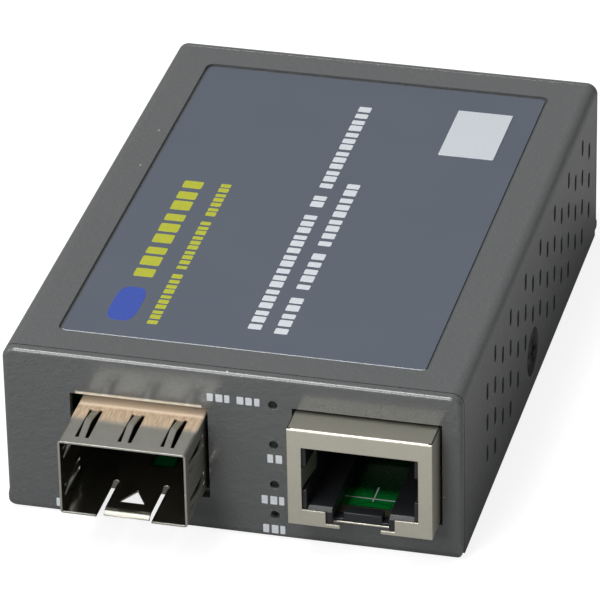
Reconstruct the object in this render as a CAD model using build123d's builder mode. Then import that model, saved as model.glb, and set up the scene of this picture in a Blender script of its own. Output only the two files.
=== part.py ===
"""Compact fibre media converter: a folded steel case round a board that carries a
transceiver cage, a shielded network jack, a power inlet and a four-way setting switch.

The origin is the centre of the case's underside. +Z is up, -Y is the port side and the
switch and power inlet are at +Y. Sizes are millimetres.
"""
import os
from math import cos, hypot, radians, sin

from build123d import *

os.makedirs("parts", exist_ok=True)

# Case
case_depth = 73.8
sheet = 1.0
chassis_bend = 1.1
cover_bend = 1.35
panel_corner = 1.35
seam_gap = 0.12
side_gap = 0.1
cover_lift = 0.45
pick = 0.01

# Side vents: upright slots in staggered columns
vent_width = 1.0
vent_length = 2.1
vent_pitch = 4.0
vent_row_pitch = 3.96
vent_columns = 15
vent_long_rows = 4
vent_stagger = 2.5
vent_first_from_front = 12.55
vent_top_down = 3.9
vent_screw_keepout = 4.6

# Cover screws and the tabs they pull on
cover_screw_radius = 1.5
cover_screw_head_radius = 2.85
cover_screw_length = 5.0
cover_screw_height = 5.25
tab_width = 10.0
tab_height = 8.2
tab_relief = 1.0
tab_corner = 1.5
screw_clearance = 0.05
countersink_angle = 90
drive_width = 0.6
drive_depth_share = 0.7
drive_taper = 12

# Label and sticker on the lid
label_width = 40.8
label_length = 63.2
label_corner = 0.6
label_thickness = 0.2
recess_depth = 0.35
recess_gap = 0.35
sticker_width = 6.5
sticker_length = 11.0
sticker_thickness = 0.1
sticker_from_right = 2.9
sticker_from_rear = 4.9

# Circuit board and what holds it
board_thickness = 1.6
board_rise = 2.05
board_end_gap = 0.6
board_corner = 0.6
board_tab_gap = 0.3
notch_width = 5.0
notch_depth = 3.2
standoff_radius = 2.5
standoff_spigot_radius = 2.1
board_screw_radius = 1.25
board_screw_head_radius = 2.3
board_screw_head_height = 1.4
board_screw_head_round = 0.84
board_screw_length = 3.4
board_screw_inset = 2.7
board_screw_front = 4.3
board_screw_rear = 3.8
board_screw_from_jack = 3.82
board_hole_clearance = 0.2

# Transceiver cage, mouth forward
cage_width = 14.26
cage_height = 9.1
cage_length = 47.5
cage_overhang = 8.0
cage_from_side = 8.44
cage_sheet = 0.25
cage_stand = 0.79
cage_corner = 0.35
cage_seam_height = 4.2
cage_seam_gap = 0.04
cage_opening_left = 0.87
cage_opening_right = 0.32
cage_opening_over = 1.2
cage_opening_under = 1.05
cage_notch_width = 9.4
cage_notch_depth = 7.6
cage_notch_left_shift = 1.25
finger_width = 0.75
finger_window = 1.5
finger_length = 5.9
finger_setback = 1.3
finger_rise = 0.55
finger_root = 0.2
finger_crest_flat = 0.3
finger_crest_share = 0.48
finger_pitch = 4.75
side_finger_rise = 0.28
side_finger_high = 6.75
side_finger_low = 2.05
tongue_width = 5.15
tongue_slit = 0.5
tongue_length = 7.0
tongue_slit_end = 0.375
tongue_hole_base = 2.95
tongue_hole_length = 2.5
tongue_hole_setback = 3.2
lip_start = 2.0
lip_radius = 1.3
lip_flat = 0.3
lip_turn = 55
cage_pin_width = 0.8
cage_pin_reach = 2.8
cage_pin_count = 5
cage_pin_first = 12.0
cage_pin_last = 46.2
cage_pin_hole_radius = 0.55
cage_floor_margin = 1.0

# Host connector inside the cage
host_setback = 37.0
host_width = 11.0
host_length = 9.2
host_height = 5.4
host_slot_width = 9.6
host_slot_height = 1.3
host_slot_depth = 6.2
host_slot_lift = 2.95
host_contact_count = 10
host_contact_pitch = 0.8
host_contact_width = 0.32
host_contact_thickness = 0.2
host_contact_setback = 1.0
host_lower_contact_reach = 3.0
host_contact_foot = 0.8
host_tail_gap = 0.15
host_channel_slack = 0.06
host_chamfer = 0.5

# Network jack, latch side down
jack_width = 16.0
jack_height = 12.0
jack_depth = 21.3
jack_overhang = 3.62
jack_from_side = 2.49
jack_from_cage = 10.01
jack_headroom = 2.86
jack_sheet = 0.25
jack_bend = 0.3
jack_panel_gap = 0.25
jack_window_width = 12.84
jack_window_low = 1.95
jack_window_high = 9.7
jack_notch_width = 7.64
jack_notch_low = 0.45
jack_gap_width = 4.5
jack_stand = 0.04
jack_insert_gap = 0.06
jack_cavity_width = 11.9
jack_cavity_depth = 14.5
jack_ledge = 2.25
jack_latch_width = 6.2
jack_latch_floor = 0.6
jack_bar_width = 4.3
jack_bar_height = 1.4
jack_bar_depth = 1.4
jack_lead_in = 0.5
jack_strap_setback = 1.3
jack_strap_width = 3.3
ground_tab_height = 2.4
ground_tab_reach = 4.6
ground_tab_lean = 0.55
ground_tab_lift = 4.6
ground_tab_root = 0.5
ground_pocket_width = 2.2
ground_pocket_gap = 0.3
jack_contact_pitch = 1.02
jack_contact_width = 0.36
jack_contact_thickness = 0.3
jack_contact_count = 8
jack_contact_roof_gap = 0.35
jack_contact_hook = 2.9
jack_contact_run = 7.6
jack_contact_drop = 3.9
jack_contact_tail = 0.9
jack_comb_slack = 0.3
jack_comb_height = 1.2
jack_pin_setback = 3.6
jack_tail_room = 1.0
jack_pin_row_gap = 1.5
jack_pin_hole_radius = 0.45
jack_peg_radius = 1.55
jack_peg_spread = 5.7
jack_peg_setback = 9.6
jack_tail_width = 1.4
jack_tail_setback = 13.0
jack_tail_reach = 2.7
jack_tail_hole_radius = 0.85
peg_clearance = 0.1

# Status lamps beside the jack
lamp_from_jack = 2.37
lamp_hole_radius = 0.5
lamp_top_down = 3.45
lamp_pitch = 5.05
lamp_low_drop = 3.85
guide_width = 1.6
guide_tip_radius = 0.42
guide_recess = 0.35
guide_panel_gap = 0.15
guide_tip_root = 0.3
guide_web_height = 0.8
guide_peg_radius = 0.35
guide_step = 2.7
guide_first_setback = 2.2
lamp_chip_width = 0.8
lamp_chip_length = 1.6
lamp_chip_height = 0.75
lamp_gap = 0.1
lamp_edge_inset = 0.1

# Power inlet
inlet_from_edge = 5.7
inlet_width = 9.0
inlet_height = 11.0
inlet_length = 14.4
inlet_bore_radius = 3.15
inlet_bore_depth = 10.4
inlet_bore_height = 6.5
inlet_pin_radius = 1.0
inlet_shank_radius = 0.8
inlet_pin_setback = 1.0
inlet_pin_round = 0.6
inlet_gap = 0.2
inlet_chamfer = 0.8
inlet_lip = 2.0
inlet_terminal_width = 2.0
inlet_terminal_thickness = 0.5
inlet_terminal_slack = 0.4
inlet_terminal_tail = 0.8
inlet_pin_terminal_setback = 1.6
inlet_spring_terminal_setback = 4.6
inlet_hole_radius = 1.2
spring_thickness = 0.3
spring_bow_setback = 4.6
spring_rise = 1.0
spring_end_setback = 2.6
spring_channel_top = 0.4
spring_channel_height = 1.9

# Setting switch with four sliders that look out of the rear panel
switch_from_edge = 8.37
switch_way_count = 4
switch_pitch = 2.54
switch_margin = 0.75
switch_height = 6.4
switch_cover_depth = 2.4
switch_base_depth = 2.6
switch_face_gap = 0.15
slider_knob_width = 1.2
slider_knob_height = 1.5
slider_knob_reach = 0.8
slider_plate_width = 1.8
slider_plate_height = 2.6
slider_plate_depth = 1.2
slider_travel = 1.8
slider_clearance = 0.08
slider_round = 0.2
window_margin = 0.45
switch_pin = 0.5
switch_pin_hole_radius = 0.45
switch_pin_tail = 0.8
switch_pin_exit = 1.6
switch_rear_pin_gap = 0.8
switch_front_pin_inset = 1.0

# Parts soldered on the board
magnetics_size = (12.7, 9.0, 5.6)
magnetics_from_edge = 12.6
magnetics_from_jack = 8.62
magnetics_lead_corner = 1.5
magnetics_lead_pitch = 1.27
magnetics_chamfer = 0.4
chip_size = (10.0, 10.0, 1.3)
chip_from_edge = 13.7
chip_from_magnetics = 15.6
chip_lead_corner = 0.9
chip_lead_pitch = 0.8
chip_chamfer = 0.25
chip_mark_share = 0.36
chip_mark_radius = 0.5
chip_mark_depth = 0.1
memory_size = (4.9, 3.9, 1.5)
memory_from_edge = 5.7
memory_from_cage = 7.4
regulator_from_switch = 3.0
regulator_from_rear = 12.3
memory_lead_corner = 0.4
memory_lead_pitch = 1.27
memory_chamfer = 0.3
crystal_length = 11.0
crystal_width = 4.6
crystal_height = 3.5
crystal_flange = 0.6
crystal_from_edge = 14.6
crystal_from_cage = 7.9
tank_radius = 3.15
tank_height = 7.2
tank_base = 6.6
tank_base_height = 0.9
tank_base_corner = 1.2
tank_round = 0.4
tank_groove_radius = 0.35
tank_groove_height = 1.2
tank_left_inset = 4.6
tank_right_inset = 3.2
tank_left_rear = 14.3
tank_right_rear = 17.8
choke_size = (6.0, 6.0, 2.9)
choke_corner = 1.0
choke_groove_radius = 2.4
choke_groove_width = 0.36
choke_groove = 0.4
choke_from_edge = 19.8
choke_from_rear = 12.7
chip_part_size = (1.0, 2.0, 0.8)
capacitor_places = [(1.5, 2.0), (1.5, 6.0), (1.5, 10.0), (19.0, 3.0), (19.0, 8.0), (-1.0, 28.0),
                    (1.8, 28.0)]
resistor_size = (0.8, 1.6, 0.45)
resistor_places = [(-20.5, 4.5), (-18.5, 4.5), (-16.5, 4.5), (-14.0, 16.0), (-11.0, 16.0), (4.0, -16.5),
                   (1.0, -8.0), (1.0, -5.0)]
lead_thickness = 0.2
lead_width = 0.36
lead_reach = 1.1
lead_knee_share = 0.4
lead_lean = 0.1
chip_stand = 0.1

# Places worked out from the sizes above
board_bottom = sheet + board_rise
board_top = board_bottom + board_thickness
jack_floor = board_top + jack_stand
case_width = cage_from_side + cage_width + jack_from_cage + jack_width + jack_from_side
case_height = jack_floor + jack_height + jack_headroom + sheet
half_width = case_width / 2
half_depth = case_depth / 2
front_face = -half_depth
rear_face = half_depth
front_inside = front_face + sheet
rear_inside = rear_face - sheet
floor_width = case_width - 2 * (sheet + side_gap)
cover_length = case_depth - 2 * (sheet + seam_gap)
cover_inside_top = case_height - sheet
board_width = floor_width - 2 * (sheet + board_tab_gap)
board_length = case_depth - 2 * (sheet + board_end_gap)
left_edge = -board_width / 2
right_edge = board_width / 2
front_edge = -board_length / 2
rear_edge = board_length / 2
screw_column = 6
cover_screw_y = front_face + vent_first_from_front + screw_column * vent_pitch
cage_offset = -half_width + cage_from_side + cage_width / 2
cage_mouth = front_face - cage_overhang
cage_rear = cage_mouth + cage_length
cage_floor = board_top + cage_stand
jack_offset = half_width - jack_from_side - jack_width / 2
jack_front = front_face - jack_overhang
jack_rear = jack_front + jack_depth
lamp_offset = jack_offset - jack_width / 2 - lamp_from_jack
lamp_high = case_height - lamp_top_down
lamp_heights = [lamp_high, lamp_high - lamp_pitch, lamp_high - 2 * lamp_pitch]
lamp_low = lamp_heights[2] - lamp_low_drop
board_screw_places = [(left_edge + board_screw_inset, front_edge + board_screw_front),
                      (right_edge - board_screw_inset, jack_rear + board_screw_from_jack),
                      (left_edge + board_screw_inset, rear_edge - board_screw_rear),
                      (right_edge - board_screw_inset, rear_edge - board_screw_rear)]
inlet_offset = right_edge - inlet_from_edge - inlet_width / 2
inlet_axis = board_top + inlet_bore_height
switch_width = switch_way_count * switch_pitch + 2 * switch_margin
switch_offset = left_edge + switch_from_edge + switch_width / 2
switch_middle = board_top + switch_height / 2
switch_face = rear_inside - switch_face_gap
slider_first = switch_offset - (switch_way_count - 1) / 2 * switch_pitch
slider_places = [slider_first + i * switch_pitch for i in range(switch_way_count)]
magnetics_place = (right_edge - magnetics_from_edge, jack_rear + magnetics_from_jack)
chip_place = (right_edge - chip_from_edge, magnetics_place[1] + chip_from_magnetics)
memory_places = [(left_edge + memory_from_edge, cage_rear + memory_from_cage),
                 (switch_offset + regulator_from_switch, rear_edge - regulator_from_rear)]
crystal_place = (left_edge + crystal_from_edge, cage_rear + crystal_from_cage)
tank_places = [(left_edge + tank_left_inset, rear_edge - tank_left_rear),
               (right_edge - tank_right_inset, rear_edge - tank_right_rear)]
choke_place = (right_edge - choke_from_edge, rear_edge - choke_from_rear)


def vent_centres():
    """Centres of the slots in one side, as (y, z), without those where a cover screw sits."""
    centres = []
    for column in range(vent_columns):
        y = front_face + vent_first_from_front + column * vent_pitch
        short = column % 2 == 0
        top = case_height - vent_top_down - (vent_stagger if short else 0)
        for row in range(vent_long_rows - 1 if short else vent_long_rows):
            z = top - row * vent_row_pitch
            from_screw = hypot(y - cover_screw_y, z - cover_screw_height)
            if from_screw >= vent_screw_keepout:
                centres.append((y, z))
    return centres


def arch(start, end, base, rise, thickness):
    """Closed outline of a bowed strip between start and end, given as points of a polygon."""
    crest = start + finger_crest_share * (end - start)
    upper = [(start - finger_root, base), (start, base), (crest - finger_crest_flat, base + rise),
             (crest + finger_crest_flat, base + rise), (end, base), (end + finger_root, base)]
    lower = [(along, height - thickness) for along, height in reversed(upper)]
    return upper + lower


def gull_lead(body_edge, mid_height, reach):
    """Outline of a gull-wing lead that leaves a chip's side and steps down to the board."""
    knee = body_edge + lead_knee_share * reach
    foot = body_edge + reach
    half = lead_thickness / 2
    return [(body_edge, mid_height + half), (knee + half, mid_height + half),
            (knee + half + lead_lean, board_top + lead_thickness), (foot, board_top + lead_thickness),
            (foot, board_top), (knee - half + lead_lean, board_top), (knee - half, mid_height - half),
            (body_edge, mid_height - half)]


# Base chassis: floor, front panel, rear panel and two screw tabs, folded from one sheet. A notch
# through the panel's foot and the floor leaves room below the transceiver cage's tongue.
with BuildPart() as base_chassis:
    with BuildSketch(Plane.YZ) as chassis_section:
        Rectangle(case_depth, case_height, align=(Align.CENTER, Align.MIN))
        fillet(chassis_section.vertices().group_by(Axis.Y)[0], chassis_bend)
        with Locations((0, sheet)):
            Rectangle(case_depth - 2 * sheet, case_height, align=(Align.CENTER, Align.MIN),
                      mode=Mode.SUBTRACT)
    extrude(amount=half_width, both=True)
    with BuildSketch(Plane.XZ.offset(half_depth)):
        with Locations((0, case_height / 2)):
            RectangleRounded(case_width, case_height, panel_corner)
    extrude(amount=-case_depth, mode=Mode.INTERSECT)
    for side in (-1, 1):
        with Locations((side * half_width, 0, 0)):
            Box(case_width - floor_width, case_depth - 2 * sheet, 2 * sheet, mode=Mode.SUBTRACT)
        with Locations((side * (floor_width - sheet) / 2, cover_screw_y, 0)):
            Box(sheet, tab_width, tab_height, align=(Align.CENTER, Align.CENTER, Align.MIN))
        for end in (-1, 1):
            relief_y = cover_screw_y + end * (tab_width + tab_relief) / 2
            with Locations((side * floor_width / 2, relief_y, 0)):
                Box(4 * sheet, tab_relief, 3 * sheet, mode=Mode.SUBTRACT)
    tab_corners = base_chassis.edges().filter_by(Axis.X).filter_by_position(
        Axis.Z, tab_height - pick, tab_height + pick)
    fillet(tab_corners, tab_corner)
    tab_heels = base_chassis.edges().filter_by(Axis.Y).filter_by(
        lambda edge: abs(edge.length - tab_width) < pick and edge.center().Z < pick)
    fillet(tab_heels, chassis_bend)
    for side in (-1, 1):
        tab_point = (side * floor_width / 2, cover_screw_y, cover_screw_height)
        with Locations(Plane(origin=tab_point, z_dir=(side, 0, 0))):
            CounterSinkHole(cover_screw_radius + screw_clearance,
                            cover_screw_head_radius - sheet - side_gap + screw_clearance,
                            sheet, countersink_angle)
    with BuildSketch(Plane.XZ.offset(half_depth)):
        cage_hole_width = cage_width + cage_opening_left + cage_opening_right
        cage_hole_middle = cage_offset + (cage_opening_right - cage_opening_left) / 2
        with Locations((cage_hole_middle, cage_floor - cage_opening_under)):
            Rectangle(cage_hole_width, cage_height + cage_opening_over + cage_opening_under,
                      align=(Align.CENTER, Align.MIN))
        with Locations((jack_offset, jack_floor - jack_panel_gap)):
            Rectangle(jack_width + 2 * jack_panel_gap, jack_height + 2 * jack_panel_gap,
                      align=(Align.CENTER, Align.MIN))
        with Locations(*[(lamp_offset, height) for height in lamp_heights + [lamp_low]]):
            Circle(lamp_hole_radius)
    extrude(amount=-sheet, mode=Mode.SUBTRACT)
    with Locations((cage_offset - cage_notch_left_shift, front_face, 0)):
        Box(cage_notch_width, cage_notch_depth, cage_floor - cage_opening_under,
            align=(Align.CENTER, Align.MIN, Align.MIN), mode=Mode.SUBTRACT)
    with BuildSketch(Plane.XZ.offset(-half_depth)):
        with Locations((inlet_offset, board_top - inlet_gap)):
            Rectangle(inlet_width + 2 * inlet_gap, inlet_height + 2 * inlet_gap,
                      align=(Align.CENTER, Align.MIN))
        with Locations((switch_offset, switch_middle)):
            Rectangle((switch_way_count - 1) * switch_pitch + slider_knob_width + 2 * window_margin,
                      slider_knob_height + slider_travel + 2 * window_margin)
    extrude(amount=sheet, mode=Mode.SUBTRACT)
    with Locations(*[(x, y, 0) for x, y in board_screw_places]):
        Cylinder(standoff_spigot_radius, 3 * sheet, mode=Mode.SUBTRACT)

base_chassis.part.label = "base_chassis"
export_step(base_chassis.part, "parts/base_chassis.step")


# Top cover: lid and both sides bent from one sheet, vented, with a stamped recess for the label.
with BuildPart() as top_cover:
    with BuildSketch(Plane.XZ.offset(cover_length / 2)) as cover_section:
        with Locations((0, cover_lift)):
            Rectangle(case_width, case_height - cover_lift, align=(Align.CENTER, Align.MIN))
        fillet(cover_section.vertices().group_by(Axis.Y)[-1], cover_bend)
        Rectangle(case_width - 2 * sheet, cover_inside_top, align=(Align.CENTER, Align.MIN),
                  mode=Mode.SUBTRACT)
        inner_corners = cover_section.vertices().filter_by_position(
            Axis.Y, cover_inside_top - pick, cover_inside_top + pick)
        fillet(inner_corners, cover_bend - sheet)
    extrude(amount=-cover_length)
    with BuildSketch(Plane.YZ.offset(half_width)):
        with Locations(*vent_centres()):
            SlotOverall(vent_length, vent_width, rotation=90)
    extrude(amount=-case_width, mode=Mode.SUBTRACT)
    for side in (-1, 1):
        cover_point = (side * half_width, cover_screw_y, cover_screw_height)
        with Locations(Plane(origin=cover_point, z_dir=(side, 0, 0))):
            CounterSinkHole(cover_screw_head_radius - sheet + screw_clearance,
                            cover_screw_head_radius + screw_clearance, sheet, countersink_angle)
    recess_width = label_width + 2 * recess_gap
    recess_length = label_length + 2 * recess_gap
    with BuildSketch(Plane.XY.offset(case_height)):
        RectangleRounded(recess_width, recess_length, label_corner + recess_gap)
    extrude(amount=-recess_depth, mode=Mode.SUBTRACT)
    with BuildSketch(Plane.XY.offset(cover_inside_top)):
        RectangleRounded(recess_width, recess_length, label_corner + recess_gap)
    extrude(amount=-recess_depth)

top_cover.part.label = "top_cover"
export_step(top_cover.part, "parts/top_cover.step")


# Cover screws: one countersunk machine screw in each side, with a cross drive.
with BuildPart() as cover_screw:
    head_depth = cover_screw_head_radius - cover_screw_radius
    with BuildSketch(Plane.XZ):
        Polygon((0, 0), (cover_screw_head_radius, 0), (cover_screw_radius, -head_depth),
                (cover_screw_radius, drive_width / 2 - cover_screw_length),
                (cover_screw_radius - drive_width / 2, -cover_screw_length), (0, -cover_screw_length),
                align=None)
    revolve(axis=Axis.Z)
    with BuildSketch():
        Rectangle(2 * cover_screw_radius, drive_width)
        Rectangle(drive_width, 2 * cover_screw_radius)
    extrude(amount=-head_depth * drive_depth_share, taper=drive_taper, mode=Mode.SUBTRACT)

with BuildPart() as cover_screws:
    for side in (-1, 1):
        screw_point = (side * half_width, cover_screw_y, cover_screw_height)
        with Locations(Plane(origin=screw_point, z_dir=(side, 0, 0))):
            add(cover_screw.part)

cover_screws.part.label = "cover_screws"
export_step(cover_screws.part, "parts/cover_screws.step")


# Label on the lid: a printed film that fills the recess, and a small plain sticker on it.
with BuildPart() as top_label:
    with BuildSketch(Plane.XY.offset(case_height - recess_depth)):
        RectangleRounded(label_width, label_length, label_corner)
    extrude(amount=label_thickness)

top_label.part.label = "top_label"
export_step(top_label.part, "parts/top_label.step")

with BuildPart() as small_sticker:
    sticker_x = label_width / 2 - sticker_from_right - sticker_width / 2
    sticker_y = label_length / 2 - sticker_from_rear - sticker_length / 2
    with BuildSketch(Plane.XY.offset(case_height - recess_depth + label_thickness)):
        with Locations((sticker_x, sticker_y)):
            RectangleRounded(sticker_width, sticker_length, sticker_thickness)
    extrude(amount=sticker_thickness)

small_sticker.part.label = "small_sticker"
export_step(small_sticker.part, "parts/small_sticker.step")


# Places of what passes through the board
cage_pin_ys = [cage_mouth + cage_pin_first + i * (cage_pin_last - cage_pin_first) / (cage_pin_count - 1)
               for i in range(cage_pin_count)]
cage_pin_xs = [cage_offset + side * (cage_width - cage_sheet) / 2 for side in (-1, 1)]
jack_contact_xs = [jack_offset + (i - (jack_contact_count - 1) / 2) * jack_contact_pitch
                   for i in range(jack_contact_count)]
jack_pin_rows = [jack_rear - jack_pin_setback, jack_rear - jack_pin_setback + jack_pin_row_gap]
jack_tail_xs = [jack_offset + side * (jack_width - jack_sheet) / 2 for side in (-1, 1)]
jack_tail_y = jack_front + jack_tail_setback
jack_peg_y = jack_front + jack_peg_setback
inlet_front = rear_face - inlet_length
inlet_pin_y = inlet_front + inlet_pin_terminal_setback
inlet_spring_y = inlet_front + inlet_spring_terminal_setback
switch_back = switch_face - switch_cover_depth - switch_base_depth
switch_pin_ys = [switch_back - switch_rear_pin_gap,
                 switch_face - switch_cover_depth - switch_front_pin_inset]

# Circuit board: one glass-fibre sheet with every hole that a lead, peg or screw goes through.
with BuildPart() as circuit_board:
    with BuildSketch(Plane.XY.offset(board_bottom)):
        RectangleRounded(board_width, board_length, board_corner)
        with Locations((-board_width / 2, cover_screw_y), (board_width / 2, cover_screw_y)):
            Rectangle(2 * notch_depth, notch_width, mode=Mode.SUBTRACT)
        with Locations(*board_screw_places):
            Circle(board_screw_radius + board_hole_clearance, mode=Mode.SUBTRACT)
        with Locations(*[(x, y) for x in cage_pin_xs for y in cage_pin_ys]):
            Circle(cage_pin_hole_radius, mode=Mode.SUBTRACT)
        with Locations(*[(x, jack_pin_rows[i % 2]) for i, x in enumerate(jack_contact_xs)]):
            Circle(jack_pin_hole_radius, mode=Mode.SUBTRACT)
        with Locations(*[(jack_offset + side * jack_peg_spread, jack_peg_y) for side in (-1, 1)]):
            Circle(jack_peg_radius + peg_clearance, mode=Mode.SUBTRACT)
        with Locations(*[(x, jack_tail_y) for x in jack_tail_xs]):
            Circle(jack_tail_hole_radius, mode=Mode.SUBTRACT)
        with Locations((inlet_offset, inlet_pin_y), (inlet_offset, inlet_spring_y)):
            Circle(inlet_hole_radius, mode=Mode.SUBTRACT)
        with Locations(*[(x, y) for x in slider_places for y in switch_pin_ys]):
            Circle(switch_pin_hole_radius, mode=Mode.SUBTRACT)
    extrude(amount=board_thickness)

circuit_board.part.label = "circuit_board"
export_step(circuit_board.part, "parts/circuit_board.step")


# Standoffs: hexagonal, threaded, pressed through the floor and flush with the underside.
with BuildPart() as standoffs:
    with BuildSketch(Plane.XY.offset(sheet)):
        with Locations(*board_screw_places):
            RegularPolygon(standoff_radius, 6, major_radius=False)
    extrude(amount=board_rise)
    with BuildSketch():
        with Locations(*board_screw_places):
            Circle(standoff_spigot_radius)
    extrude(amount=sheet)
    with BuildSketch():
        with Locations(*board_screw_places):
            Circle(board_screw_radius + screw_clearance)
    extrude(amount=board_bottom, mode=Mode.SUBTRACT)

standoffs.part.label = "standoffs"
export_step(standoffs.part, "parts/standoffs.step")


# Board screws: pan heads with a cross drive, one in each standoff.
with BuildPart() as board_screw:
    Cylinder(board_screw_head_radius, board_screw_head_height, align=(Align.CENTER, Align.CENTER, Align.MIN))
    fillet(board_screw.edges().group_by(Axis.Z)[-1], board_screw_head_round)
    Cylinder(board_screw_radius, board_screw_length, align=(Align.CENTER, Align.CENTER, Align.MAX))
    with BuildSketch(Plane.XY.offset(board_screw_head_height)):
        Rectangle(2 * board_screw_radius, drive_width)
        Rectangle(drive_width, 2 * board_screw_radius)
    extrude(amount=-board_screw_head_height * drive_depth_share, mode=Mode.SUBTRACT)

with BuildPart() as board_screws:
    with Locations(*[(x, y, board_top) for x, y in board_screw_places]):
        add(board_screw.part)

board_screws.part.label = "board_screws"
export_step(board_screws.part, "parts/board_screws.step")


# Transceiver cage, upper shell: roof, upper side walls and back, with bowed earthing fingers.
mouth_plane = Plane(origin=(cage_offset, cage_mouth, cage_floor), x_dir=(1, 0, 0), z_dir=(0, -1, 0))
cage_roof = cage_floor + cage_height
cage_side = cage_width / 2
finger_start = cage_mouth + finger_setback
finger_end = finger_start + finger_length
finger_middle = (finger_start + finger_end) / 2


def cage_section(low, high):
    """Sketch of the cage's wall between two heights over its floor, flat on XY."""
    with BuildSketch() as section:
        with Locations((0, cage_height / 2)):
            RectangleRounded(cage_width, cage_height, cage_corner)
            RectangleRounded(cage_width - 2 * cage_sheet, cage_height - 2 * cage_sheet,
                             cage_corner - cage_sheet, mode=Mode.SUBTRACT)
        with Locations((0, (low + high) / 2)):
            Rectangle(2 * cage_width, high - low, mode=Mode.INTERSECT)
    return section.sketch


def side_bow(side):
    """Outline, seen from above, of the finger that bows out of one side wall of the cage."""
    bow = arch(finger_start, finger_end, cage_side, side_finger_rise, cage_sheet)
    return [(cage_offset + side * out, along) for along, out in bow]


with BuildPart() as cage_upper:
    with BuildSketch(mouth_plane):
        add(cage_section(cage_seam_height, cage_height))
    extrude(amount=-cage_length)
    with Locations((cage_offset, cage_rear - cage_sheet / 2, cage_roof - cage_sheet / 2)):
        Box(cage_width - cage_sheet, cage_sheet, cage_height - cage_seam_height - cage_sheet / 2,
            align=(Align.CENTER, Align.CENTER, Align.MAX))
    for i in (-1, 0, 1):
        finger_x = cage_offset + i * finger_pitch
        with Locations((finger_x, finger_middle, cage_roof)):
            Box(finger_window, finger_length, 4 * cage_sheet, mode=Mode.SUBTRACT)
        with BuildSketch(Plane.YZ.offset(finger_x)):
            Polygon(*arch(finger_start, finger_end, cage_roof, finger_rise, cage_sheet), align=None)
        extrude(amount=finger_width / 2, both=True)
    for side in (-1, 1):
        with Locations((cage_offset + side * cage_side, finger_middle, cage_floor + side_finger_high)):
            Box(4 * cage_sheet, finger_length, finger_window, mode=Mode.SUBTRACT)
        with BuildSketch(Plane.XY.offset(cage_floor + side_finger_high - finger_width / 2)):
            Polygon(*side_bow(side), align=None)
        extrude(amount=finger_width)

cage_upper.part.label = "cage_upper"
export_step(cage_upper.part, "parts/cage_upper.step")


# Transceiver cage, lower shell: floor, lower side walls, board pins and the springy latch tongue.
host_front = cage_mouth + host_setback
with BuildPart() as cage_lower:
    with BuildSketch(mouth_plane):
        add(cage_section(0, cage_seam_height - cage_seam_gap))
    extrude(amount=-cage_length)
    with Locations((cage_offset, host_front - cage_floor_margin, cage_floor)):
        Box(cage_width - 2 * cage_corner, cage_length, 4 * cage_sheet,
            align=(Align.CENTER, Align.MIN, Align.CENTER), mode=Mode.SUBTRACT)
    for side in (-1, 1):
        with Locations((cage_offset + side * cage_side, finger_middle, cage_floor + side_finger_low)):
            Box(4 * cage_sheet, finger_length, finger_window, mode=Mode.SUBTRACT)
        with BuildSketch(Plane.XY.offset(cage_floor + side_finger_low - finger_width / 2)):
            Polygon(*side_bow(side), align=None)
        extrude(amount=finger_width)
        slit_x = cage_offset + side * (tongue_width + tongue_slit) / 2
        with BuildSketch(Plane.XY.offset(cage_floor - cage_sheet)):
            with Locations((slit_x, cage_mouth)):
                Rectangle(tongue_slit, 2 * tongue_length, align=(Align.CENTER, Align.CENTER))
            with Locations((slit_x, cage_mouth + tongue_length)):
                Circle(tongue_slit_end)
        extrude(amount=4 * cage_sheet, mode=Mode.SUBTRACT)
    with BuildSketch(Plane.XY.offset(cage_floor - cage_sheet)):
        with Locations((cage_offset, cage_mouth)):
            Rectangle(tongue_width + tongue_slit, 2 * lip_start)
        hole_base = cage_mouth + tongue_hole_setback
        Polygon((cage_offset - tongue_hole_base / 2, hole_base),
                (cage_offset + tongue_hole_base / 2, hole_base),
                (cage_offset, hole_base + tongue_hole_length), align=None)
    extrude(amount=4 * cage_sheet, mode=Mode.SUBTRACT)
    with BuildSketch(Plane.YZ.offset(cage_offset)):
        lip_y = cage_mouth + lip_start
        outer = lip_radius
        inner = lip_radius - cage_sheet
        turn = radians(lip_turn)
        with BuildLine():
            lip_middle = cage_floor + cage_sheet - outer
            Polyline((lip_y, lip_middle + inner), (lip_y + lip_flat, lip_middle + inner),
                     (lip_y + lip_flat, lip_middle + outer), (lip_y, lip_middle + outer))
            ThreePointArc((lip_y, lip_middle + outer),
                          (lip_y - outer * sin(turn / 2), lip_middle + outer * cos(turn / 2)),
                          (lip_y - outer * sin(turn), lip_middle + outer * cos(turn)))
            Line((lip_y - outer * sin(turn), lip_middle + outer * cos(turn)),
                 (lip_y - inner * sin(turn), lip_middle + inner * cos(turn)))
            ThreePointArc((lip_y - inner * sin(turn), lip_middle + inner * cos(turn)),
                          (lip_y - inner * sin(turn / 2), lip_middle + inner * cos(turn / 2)),
                          (lip_y, lip_middle + inner))
        make_face()
    extrude(amount=tongue_width / 2, both=True)
    for x in cage_pin_xs:
        for y in cage_pin_ys:
            with Locations((x, y, board_top)):
                Box(cage_sheet, 2 * cage_pin_width, cage_stand + cage_corner,
                    align=(Align.CENTER, Align.CENTER, Align.MIN))
                Box(cage_sheet, cage_pin_width, cage_pin_reach,
                    align=(Align.CENTER, Align.CENTER, Align.MAX))

cage_lower.part.label = "cage_lower"
export_step(cage_lower.part, "parts/cage_lower.step")


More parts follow.
